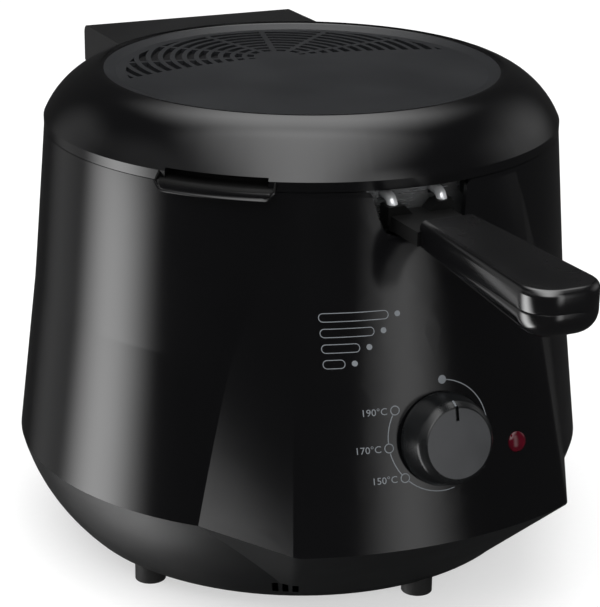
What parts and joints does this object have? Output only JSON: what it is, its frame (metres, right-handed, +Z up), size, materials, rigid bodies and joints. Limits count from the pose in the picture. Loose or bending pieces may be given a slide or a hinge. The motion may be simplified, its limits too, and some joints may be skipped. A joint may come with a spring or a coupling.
{
  "type": "deep fryer",
  "caption": "Compact round deep fryer with a hinged lid and steam grille, a fixed oil bowl, a lift-out wire basket with a front handle, a thermostat knob and a pilot lamp.",
  "frame": {"origin": "on the table, at the middle of the part's outline seen from above", "axes": "+Y from the basket handle at the front to the lid hinge at the back, +X to the right of someone facing the panel, +Z up"},
  "size_m": [0.2656, 0.375, 0.221],
  "materials": {
    "shell_gloss": "high gloss black",
    "base_matte": "fine matte black",
    "plate_matte": "satin dark grey",
    "handle_matte": "satin black",
    "knob_black": "semi-gloss black",
    "pointer_grey": "pale grey",
    "foot_rubber": "matte",
    "bowl_metal": "satin, coated inside",
    "steel": "bright zinc",
    "chrome_wire": "chrome plated",
    "liner_steel": "satin",
    "filter_felt": "loose felt",
    "inner_resin": "moulded resin",
    "lens_red": "clear red",
    "lamp_glass": "clear"
  },
  "bodies": {
    "housing": {"outer_shell": "shell_gloss", "base_tray": "base_matte", "hinge_lugs": "base_matte", "rim_ring": "base_matte", "feet": "foot_rubber", "cord_gland": "foot_rubber", "oil_bowl": "bowl_metal", "heater_clamp": "bowl_metal", "tie_studs": "steel", "base_nuts": "steel", "clamp_nuts": "steel", "lug_screws": "steel", "hinge_pin": "steel", "thermostat_bracket": "steel", "heating_element": "steel", "limit_thermostat": "inner_resin", "thermostat_body": "inner_resin", "lamp_holder": "inner_resin", "terminal_block": "inner_resin", "pilot_lens": "lens_red", "pilot_lamp": "lamp_glass"},
    "lid": {"lid_shell": "shell_gloss", "lid_top_plate": "plate_matte", "filter_mesh": "liner_steel", "filter_pad": "filter_felt", "lid_liner": "liner_steel", "liner_screws": "steel", "hinge_cover": "shell_gloss", "hinge_knuckle": "base_matte", "lid_grip": "shell_gloss"},
    "basket": {"basket_rim": "chrome_wire", "basket_mesh": "chrome_wire", "handle_rods": "chrome_wire", "handle_yoke": "handle_matte", "handle_screws": "steel", "handle_upper": "handle_matte", "handle_lower": "handle_matte"},
    "knob": {"control_knob": "knob_black", "knob_pointer": "pointer_grey", "thermostat_shaft": "steel"}
  },
  "joints": [
    {"name": "lid_hinge", "type": "hinge", "parent": "housing", "child": "lid", "pos_m": [0, 0.1765, 0.19], "axis": [-1, 0, 0], "range_deg": [0, 95]},
    {"name": "knob_turn", "type": "hinge", "parent": "housing", "child": "knob", "pos_m": [0, -0.09564, 0.0928], "axis": [0, 0.9724, -0.2334], "range_deg": [0, 300]},
    {"name": "basket_lift", "type": "slide", "parent": "housing", "child": "basket", "axis": [0, 0, 1], "range_m": [0, 0.002]}
  ]
}
